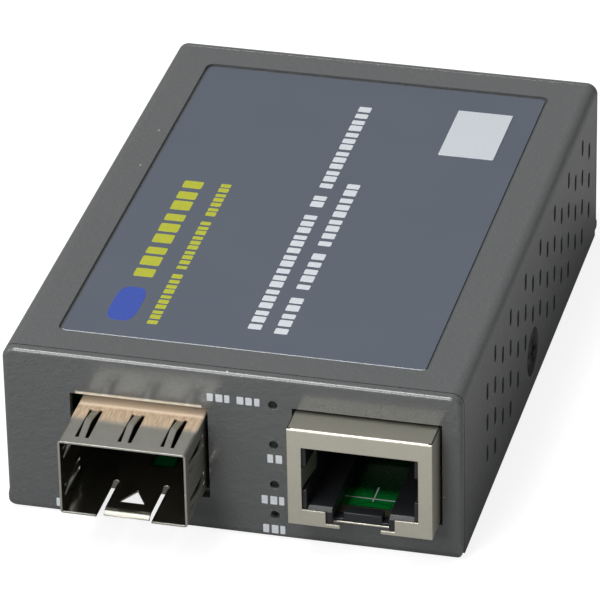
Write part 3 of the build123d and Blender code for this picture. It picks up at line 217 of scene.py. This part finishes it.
def rounded(node, radius, split=False, rim=0):
    """A shown copy of a CAD node: its loose triangles are merged into flat faces again, hollow
    faces are split where asked, and each corner sharper than 40 degrees is rounded. The outline of
    both end faces gets its own radius where one is given, down to above the lower corners."""
    weld, corner = 2e-6, radians(40)
    whole = bmesh.new()
    whole.from_mesh(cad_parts[node].data)
    bmesh.ops.remove_doubles(whole, verts=whole.verts, dist=weld)
    bmesh.ops.dissolve_limit(whole, angle_limit=radians(0.5), verts=whole.verts, edges=whole.edges)
    if split:
        bmesh.ops.connect_verts_concave(whole, faces=whole.faces)
    if rim:
        low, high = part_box(node)
        foot = low.z + 2.35 * mm
        at_end, near_outline = 0.01 * mm, 1.4 * mm
        bmesh.ops.bisect_plane(whole, geom=whole.verts[:] + whole.edges[:] + whole.faces[:],
                               dist=weld, plane_co=(0, 0, foot), plane_no=(0, 0, 1))
        middle = {edge: (edge.verts[0].co + edge.verts[1].co) / 2 for edge in whole.edges}
        outline = [edge for edge, at in middle.items()
                   if edge.calc_face_angle(0) > corner and at.z > foot
                   and min(at.y - low.y, high.y - at.y) < at_end
                   and min(at.x - low.x, high.x - at.x, high.z - at.z) < near_outline]
        bmesh.ops.bevel(whole, geom=outline, offset=rim, offset_type="OFFSET", segments=4,
                        profile=0.5, affect="EDGES")
    mesh = bpy.data.meshes.new(node + "_rounded")
    whole.to_mesh(mesh)
    whole.free()
    for name in ("custom_normal", "UVMap"):
        if name in mesh.attributes:
            mesh.attributes.remove(mesh.attributes[name])
    mesh.materials.clear()
    mesh.shade_smooth()
    piece = shown(node + "_rounded", mesh)
    bevel = piece.modifiers.new("corners", "BEVEL")
    bevel.width = radius
    bevel.segments = 2
    bevel.limit_method = "ANGLE"
    bevel.angle_limit = corner
    bevel.use_clamp_overlap = False
    piece.modifiers.new("flats", "WEIGHTED_NORMAL").keep_sharp = True
    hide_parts(node)
    return piece


def place(piece, material, slot, body="converter"):
    """Gives a new piece its material and the body that it rides on; the slot is not used."""
    piece.data.materials.append(material)
    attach(piece, body)
    return piece


def dress(node, material):
    """A CAD node that is shown as it is gets its material."""
    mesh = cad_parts[node].data
    mesh.materials.clear()
    mesh.materials.append(material)


# The coat: an orange-peel grain with finer grit, a few specks of dust, and a pale warm strip
# above the cage's opening, where its conductive cloth gasket shows.
paint = begin("powder_coat")
spot = paint.node("ShaderNodeTexCoord", output="Object")
x, y, z = spot.axes()
peel = paint.node("ShaderNodeTexNoise", {}, {
    "Vector": spot, "Scale": 1500, "Detail": 3.0, "Roughness": 0.6})
grit = paint.node("ShaderNodeTexNoise", {}, {"Vector": spot, "Scale": 9000, "Detail": 1.0})
cloud = paint.node("ShaderNodeTexNoise", {}, {"Vector": spot, "Scale": 60, "Detail": 2.0})
shade = 0.5 * grit + 0.3 * peel + 0.2 * cloud
grey = shade.tint((0.063, 0.067, 0.068, 1), (0.115, 0.121, 0.123, 1))
dust = paint.node("ShaderNodeTexVoronoi", {}, {"Vector": spot, "Scale": 160}).fall(0.014, 0.026)
from_middle = abs(x + 10.3 * mm)
strip = (from_middle.fall(7.0 * mm, 7.15 * mm) & z.fall(15.95 * mm, 16.15 * mm)
         & z.rise(15.4 * mm, 15.5 * mm) & y.fall(-35.5 * mm, -35.4 * mm))
powder_coat = coat(paint, {
    "Base Color": (0.9 * strip | 0.6 * dust).tint(grey, (0.86, 0.78, 0.62, 1)),
    "Roughness": 0.38 + 0.15 * peel, "Coat Weight": 0.8, "Coat Roughness": 0.2, "Coat IOR": 1.7,
    "Normal": paint.node("ShaderNodeBump", {}, {"Strength": 1.0, "Distance": 0.24 * mm,
                                                "Height": 0.7 * peel + 0.3 * grit})})
place(rounded("base_chassis", 0.06 * mm, rim=0.55 * mm), powder_coat, "painted_panel")
dress("top_cover", powder_coat)

blacking = begin("black_oxide")
spot = blacking.node("ShaderNodeTexCoord", output="Object")
rub = blacking.node("ShaderNodeTexNoise", {}, {"Vector": spot, "Scale": 900, "Detail": 4.0})
black_oxide = coat(blacking, {
    "Base Color": rub.rise(0.45, 0.75).tint((0.012, 0.012, 0.013, 1), (0.09, 0.088, 0.085, 1)),
    "Metallic": 0.6, "Roughness": 0.5 - 0.2 * rub.rise(0.5, 0.8)})
place(rounded("cover_screws", 0.06 * mm), black_oxide, "screw_black")


# Label: a blue-grey printed film set in the lid's stamped recess, with a plain white sticker in
# its rear right corner. The film's front-facing cut edge is given a pale colour, a painted
# highlight.
film = begin("printed_film")
spot = film.node("ShaderNodeTexCoord", output="Object")
facing_for_painted_highlight = film.node("ShaderNodeNewGeometry", output="Normal").axes()[1]
weft = film.node("ShaderNodeTexNoise", {}, {"Vector": spot, "Scale": 5200, "Detail": 2.0})
tone = film.node("ShaderNodeTexNoise", {}, {"Vector": spot, "Scale": 90, "Detail": 1.0})
ground = (0.6 * weft + 0.4 * tone).tint((0.085, 0.104, 0.138, 1), (0.118, 0.138, 0.172, 1))
printed_film = coat(film, {
    # painted highlight: faces that look forward are pale
    "Base Color": facing_for_painted_highlight.fall(-0.6, -0.25).tint(ground, (0.7, 0.74, 0.78, 1)),
    "Roughness": 0.5 + 0.1 * weft,
    "Normal": film.node("ShaderNodeBump", {}, {
        "Strength": 0.3, "Distance": 0.004 * mm, "Height": weft})})
place(rounded("top_label", 0.08 * mm), printed_film, "label_film")

plain = begin("sticker_paper")
spot = plain.node("ShaderNodeTexCoord", output="Object")
fibre = plain.node("ShaderNodeTexNoise", {}, {"Vector": spot, "Scale": 4000, "Detail": 3.0})
sticker_paper = coat(plain, {
    "Base Color": fibre.tint((0.56, 0.61, 0.65, 1), (0.7, 0.75, 0.78, 1)),
    "Roughness": 0.35 + 0.1 * fibre})
place(rounded("small_sticker", 0.03 * mm), sticker_paper, "sticker_film")


# Print: thin screen-printed ink. Each line of print is a row of small plain blocks, two yellow
# rows with a blue mark and two long white rows on the label, and short white rows by the lamps.
def printed(name, blocks, origin, along, up, material, slot, corner=0.1, thickness=0.015):
    """Blocks given as (start, end, bottom, top) in millimetres on a plane through origin. Each is a
    superellipse plate: its rim is the half size times the cosine and sine of the angle, each raised
    to twice the corner value with its sign kept, with a raised top, a wider foot and a centre."""
    steps = 24
    block = np.array(blocks, float)
    angle = np.linspace(0, 2 * np.pi, steps, endpoint=False)
    rim = np.stack([np.sign(np.cos(angle)) * np.abs(np.cos(angle)) ** (2 * corner),
                    np.sign(np.sin(angle)) * np.abs(np.sin(angle)) ** (2 * corner)], axis=1)
    middle = np.stack([block[:, 0] + block[:, 1], block[:, 2] + block[:, 3]], axis=1) / 2
    half = np.stack([block[:, 1] - block[:, 0], block[:, 3] - block[:, 2]], axis=1) / 2
    top = middle[:, None] + rim * (half[:, None] - thickness)
    foot = middle[:, None] + rim * half[:, None]
    flat = np.concatenate([top, foot, middle[:, None]], axis=1)
    lift = np.concatenate([np.full(steps, thickness), np.zeros(steps), [thickness]])
    out = np.cross(along, up)
    points = (np.array(origin) + flat[..., :1] * np.array(along) + flat[..., 1:] * np.array(up)
              + lift[None, :, None] * out)
    step = np.arange(steps)
    ahead = np.roll(step, -1)
    sides = np.stack([step + steps, ahead + steps, ahead, step], axis=1)
    caps = np.stack([step, ahead, np.full(steps, 2 * steps)], axis=1)
    start = (2 * steps + 1) * np.arange(len(block))[:, None, None]
    faces = (start + sides).reshape(-1, 4).tolist() + (start + caps).reshape(-1, 3).tolist()
    return place(surface(name, points.reshape(-1, 3) * mm, faces), material, slot)


def row(start, words, pitch, low, high, space=0.9):
    """Blocks of one line of print: words of that many blocks each, one pitch apart, with widths
    that are 0.7 of the pitch, give or take a sine of the block's number."""
    words_before = np.repeat(np.arange(len(words)), words)
    count = np.arange(len(words_before))
    starts = start + count * pitch + words_before * space * pitch
    widths = pitch * (0.7 + 0.12 * np.sin(2.3 * count))
    return [(a, a + width, low, high) for a, width in zip(starts, widths)]


def ink(name, dark, light):
    """Screen ink: matt, with a slightly uneven lay."""
    start = begin(name)
    where = start.node("ShaderNodeTexCoord", output="Object")
    lay = start.node("ShaderNodeTexNoise", {}, {"Vector": where, "Scale": 3000, "Detail": 2.0})
    return coat(start, {"Base Color": lay.tint(dark, light), "Roughness": 0.45 + 0.15 * lay})


yellow_ink = ink("yellow_ink", (0.42, 0.45, 0.02, 1), (0.56, 0.58, 0.05, 1))
blue_ink = ink("blue_ink", (0.03, 0.07, 0.36, 1), (0.05, 0.1, 0.5, 1))
white_ink = ink("white_ink", (0.62, 0.65, 0.7, 1), (0.78, 0.82, 0.86, 1))
label_top = (0, 0, 20.4)
rearward, leftward = (0, 1, 0), (-1, 0, 0)
printed("label_title_print", row(-18.6, [9], 2.58, 13.6, 15.9),
        label_top, rearward, leftward, yellow_ink, "label_film")
printed("label_subtitle_print", row(-28.4, [10, 10, 7], 1.13, 10.4, 11.6),
        label_top, rearward, leftward, yellow_ink, "label_film")
printed("label_mark_print", [(-28.4, -21.0, 13.2, 16.5)],
        label_top, rearward, leftward, blue_ink, "label_film", corner=0.3)
printed("label_line_print",
        row(-27.1, [17, 2, 13], 1.56, -0.95, 0.55) + row(-27.5, [5, 5, 9], 1.68, -4.0, -2.5),
        label_top, rearward, leftward, white_ink, "label_film")
panel_face = (0, -36.9, 0)
rightward, upward = (1, 0, 0), (0, 0, 1)
printed("panel_print",
        row(-2.6, [3, 3], 0.98, 16.75, 17.7, space=0.4) + row(4.0, [2], 0.92, 9.8, 10.85)
        + row(3.25, [3], 0.98, 4.5, 5.55) + row(3.35, [3], 0.96, 0.8, 1.85)
        + row(-20.1, [1], 0.8, 0.95, 2.0),
        panel_face, rightward, upward, white_ink, "painted_panel", thickness=0.01)


# Circuit board: glass fibre under a glossy green solder mask, with a faint weave and pale copper
# fields under it. Its cut edge is pale beside the cage and dark green in the jack, where the board
# carries white printed lines and is painted nearly black deep under the moulding, a painted shade.
mask = begin("solder_mask")
spot = mask.node("ShaderNodeTexCoord", output="Object")
x, y, z = spot.axes()
weave = mask.node("ShaderNodeTexNoise", {}, {"Vector": spot, "Scale": 1800, "Detail": 1.0})
fields = mask.node("ShaderNodeTexVoronoi", {"feature": "DISTANCE_TO_EDGE"},
                   {"Vector": spot, "Scale": 240})
copper = fields.rise(0.02, 0.06)
board_middle = 3.85 * mm
side = abs(z - board_middle).fall(0.72 * mm, 0.78 * mm)
cut = x.rise(0, 5 * mm).tint((0.42, 0.42, 0.36, 1), (0.012, 0.05, 0.014, 1))
# painted shade: the mask turns nearly black towards the rear under the jack's moulding
painted_shade_under_jack = 0.93 * (y.rise(-33.4 * mm, -31.2 * mm) & x.rise(7 * mm, 8 * mm))
lacquer = copper.tint((0.0, 0.16, 0.024, 1), (0.002, 0.25, 0.038, 1))
solder_mask = coat(mask, {
    "Base Color": side.tint(painted_shade_under_jack.tint(lacquer, (0.0, 0.012, 0.003, 1)), cut),
    "Roughness": 0.22 + 0.08 * weave,
    "Normal": mask.node("ShaderNodeBump", {}, {"Strength": 0.4, "Distance": 0.02 * mm,
                                               "Height": copper + 0.1 * weave})})
dress("circuit_board", solder_mask)
printed("board_print", [(11.5, 17.6, -33.78, -33.62), (14.95, 15.1, -34.3, -31.3)], (0, 0, 4.65),
        rightward, (0, 1, 0), white_ink, "board_green", thickness=0.01)


# Bright tin and zinc: standoffs and screws of the board, terminals, the chips' leads and the
# crystal's can, all plated steel or copper with a slightly cloudy surface.
def metal(name, dark, light, rough, scale=1500, brushed=(1, 1, 1)):
    """Bare or plated metal whose tone and polish vary along its rolling direction."""
    start = begin(name)
    where = start.node("ShaderNodeTexCoord", output="Object")
    turned = start.node("ShaderNodeMapping", {}, {"Vector": where, "Scale": brushed})
    haze = start.node("ShaderNodeTexNoise", {}, {"Vector": turned, "Scale": scale, "Detail": 4.0})
    return coat(start, {
        "Base Color": haze.tint(dark, light), "Metallic": 1.0, "Roughness": rough + 0.15 * haze})


bright_tin = metal("bright_tin", (0.5, 0.5, 0.49, 1), (0.7, 0.7, 0.68, 1), 0.22)
for node in ("standoffs", "board_screws", "inlet_spring", "switch_pins", "transformer_leads",
             "converter_chip_leads", "small_chip_leads", "crystal"):
    dress(node, bright_tin)
place(rounded("inlet_pin", 0.05 * mm), bright_tin, "plated_steel")


# Transceiver cage: two shells of thin stainless sheet, bright along the cut mouth, with bowed
# fingers that press on the panel's opening, and a sprung tongue below. A copper-coloured
# conductive cloth lies over the roof's rear, and the board shows green through the floor.
cage = begin("stainless_sheet")
spot = cage.node("ShaderNodeTexCoord", output="Object")
x, y, z = spot.axes()
from_middle = abs(x + 10.03 * mm)
rolled = cage.node("ShaderNodeMapping", {}, {"Vector": spot, "Scale": (1, 0.12, 1)})
lines = cage.node("ShaderNodeTexNoise", {}, {"Vector": rolled, "Scale": 5200, "Detail": 2.0})
stain = cage.node("ShaderNodeTexNoise", {}, {"Vector": spot, "Scale": 160, "Detail": 2.0})
gasket = (y.rise(-40.6 * mm, -39.2 * mm) & z.rise(14.25 * mm, 14.35 * mm)
          & z.fall(14.62 * mm, 14.7 * mm) & from_middle.fall(7.0 * mm, 7.1 * mm))
inside = (from_middle.fall(6.9 * mm, 6.96 * mm) & z.rise(5.5 * mm, 5.56 * mm)
          & z.fall(14.3 * mm, 14.4 * mm) & y.rise(-44.8 * mm, -44.7 * mm))
# painted shade: the turned-down front of the tongue's lip is darkened
lip_painted_shade = (y.fall(-43.6 * mm, -43.2 * mm) & from_middle.fall(3.2 * mm, 3.4 * mm)
       & z.fall(6.4 * mm, 6.8 * mm))
window = (abs(x + 8.7 * mm).fall(0.8 * mm, 1.7 * mm) & abs(y + 32.6 * mm).fall(0.7 * mm, 1.6 * mm)
          & abs(z - 5.55 * mm).fall(0.2 * mm, 0.25 * mm))
sheet = (0.5 * lines + 0.5 * stain).tint((0.44, 0.435, 0.39, 1), (0.6, 0.59, 0.53, 1))
sheet_with_painted_shade = (0.5 * lip_painted_shade).tint(sheet, (0.1, 0.09, 0.06, 1))
steel = window.rise(0, 0.4).tint(sheet_with_painted_shade, (0.0, 0.06, 0.012, 1))
woven = lines.rise(0.25, 0.75).tint((0.46, 0.34, 0.23, 1), (0.7, 0.54, 0.38, 1))
# painted light: the cloth turns pale towards the rear, where it lies in shade behind the opening's
# edge
cloth_with_painted_light = y.rise(-37.4 * mm, -36.7 * mm).tint(woven, (0.98, 0.8, 0.6, 1))
stainless = coat(cage, {
    "Base Color": gasket.tint(steel, cloth_with_painted_light),
    "Metallic": 1.0 - (0.95 * gasket | window.rise(0.3, 1)),
    "Roughness": 0.3 + 0.1 * lines + 0.2 * gasket - 0.14 * inside,
    "Normal": cage.node("ShaderNodeBump", {}, {
        "Strength": 0.25, "Distance": 0.003 * mm, "Height": lines})})
place(rounded("cage_upper", 0.05 * mm), stainless, "cage_plate")
place(rounded("cage_lower", 0.05 * mm), stainless, "cage_plate")


# Black mouldings: glass-filled plastic with a fine spark-eroded grain, in the transceiver's host
# connector, the network jack's insert, the power inlet and the bases of the capacitors.
def moulding(name, dark, light, rough):
    """Moulded plastic with a fine even grain and faint flow marks."""
    start = begin(name)
    where = start.node("ShaderNodeTexCoord", output="Object")
    spark = start.node("ShaderNodeTexNoise", {}, {"Vector": where, "Scale": 2600, "Detail": 2.0})
    flow = start.node("ShaderNodeTexNoise", {}, {"Vector": where, "Scale": 150, "Detail": 1.0})
    return coat(start, {
        "Base Color": (0.5 * spark + 0.5 * flow).tint(dark, light),
        "Roughness": rough + 0.12 * spark,
        "Normal": start.node("ShaderNodeBump", {}, {
            "Strength": 0.5, "Distance": 0.006 * mm, "Height": spark})})


black_plastic = moulding("black_plastic", (0.010, 0.011, 0.013, 1), (0.022, 0.023, 0.026, 1), 0.3)
place(rounded("jack_insert", 0.12 * mm, split=True), black_plastic, "black_moulding")
place(rounded("inlet_block", 0.12 * mm), black_plastic, "black_moulding")
place(rounded("host_connector", 0.06 * mm), black_plastic, "black_moulding")
dress("tank_bases", black_plastic)


# Network jack: the shield is one folded brass plate under warm nickel, with painted shade on its
# roof and dark lines where the folds meet at its upper corners. The contacts are gold-flashed
# spring wire.
nickel = begin("warm_nickel")
spot = nickel.node("ShaderNodeTexCoord", output="Object")
x, y, z = spot.axes()
from_middle = abs(x - 15.11 * mm)
grain = nickel.node("ShaderNodeTexNoise", {}, {"Vector": spot, "Scale": 2600, "Detail": 3.0})
patch = nickel.node("ShaderNodeTexNoise", {}, {"Vector": spot, "Scale": 170, "Detail": 2.0})
plate = (0.5 * grain + 0.5 * patch).tint((0.66, 0.64, 0.535, 1), (0.82, 0.79, 0.675, 1))
# painted shade: the roof's colour is darkened
roof_painted_shade = 0.3 * z.rise(16.665 * mm, 16.685 * mm)
folds = z.rise(16.6 * mm, 16.64 * mm) & (
    from_middle.rise(7.8 * mm, 7.86 * mm)
    | from_middle.rise(7.5 * mm, 7.6 * mm) & y.fall(-40.25 * mm, -40.15 * mm))
warm_nickel = coat(nickel, {
    "Base Color": folds.tint(roof_painted_shade.tint(plate, (0.03, 0.04, 0.04, 1)), (0.01, 0.01, 0.01, 1)),
    "Metallic": 1.0 - folds, "Roughness": 0.4 + 0.12 * grain,
    "Normal": nickel.node("ShaderNodeBump", {}, {
        "Strength": 0.6, "Distance": 0.012 * mm, "Height": grain})})
place(rounded("jack_shield", 0.09 * mm), warm_nickel, "shield_plate")
gold = metal("flashed_gold", (0.62, 0.44, 0.16, 1), (0.86, 0.66, 0.28, 1), 0.18)
dress("jack_contacts", gold)
dress("host_contacts", gold)


# Light guide and lamps: a clear acrylic moulding behind the panel's four small holes, which takes
# the light of the white chip lamps that are soldered on the board.
clear = begin("clear_acrylic")
spot = clear.node("ShaderNodeTexCoord", output="Object")
swirl = clear.node("ShaderNodeTexNoise", {}, {"Vector": spot, "Scale": 400, "Detail": 1.0})
clear_acrylic = coat(clear, {
    "Base Color": swirl.tint((0.03, 0.035, 0.035, 1), (0.08, 0.09, 0.09, 1)),
    "Roughness": 0.35 + 0.1 * swirl, "Transmission Weight": 0.6, "IOR": 1.3})
dress("light_guide", clear_acrylic)
dress("lamp_chips", moulding("lamp_ceramic", (0.62, 0.6, 0.5, 1), (0.78, 0.77, 0.68, 1), 0.3))


# Setting switch: a red moulded cover snapped over a red base, with four white sliders that run
# up and down in the cover's slots, each by itself.
switch_red = moulding("switch_red", (0.3, 0.012, 0.012, 1), (0.42, 0.02, 0.018, 1), 0.3)
place(rounded("switch_cover", 0.08 * mm), switch_red, "switch_red")
place(rounded("switch_base", 0.08 * mm), switch_red, "switch_red")
slider_white = moulding("slider_white", (0.66, 0.66, 0.62, 1), (0.8, 0.8, 0.76, 1), 0.35)
for number in (1, 2, 3, 4):
    place(rounded(f"switch_slider_{number}", 0.05 * mm), slider_white, "slider_white",
          body=f"slider_{number}")


# Parts soldered on the board: black epoxy packages, aluminium cans, a ferrite choke and tan
# ceramic capacitors.
epoxy = moulding("moulded_epoxy", (0.016, 0.016, 0.018, 1), (0.032, 0.032, 0.035, 1), 0.5)
for node in ("isolation_transformer", "converter_chip", "small_chips", "chip_resistors"):
    dress(node, epoxy)
dress("tank_cans", metal("drawn_aluminium", (0.6, 0.6, 0.62, 1), (0.78, 0.78, 0.8, 1), 0.24,
                         scale=900, brushed=(1, 1, 0.1)))
dress("power_choke", moulding("ferrite", (0.05, 0.05, 0.052, 1), (0.09, 0.09, 0.092, 1), 0.6))
dress("chip_capacitors",
      moulding("fired_ceramic", (0.4, 0.27, 0.15, 1), (0.52, 0.38, 0.23, 1), 0.4))
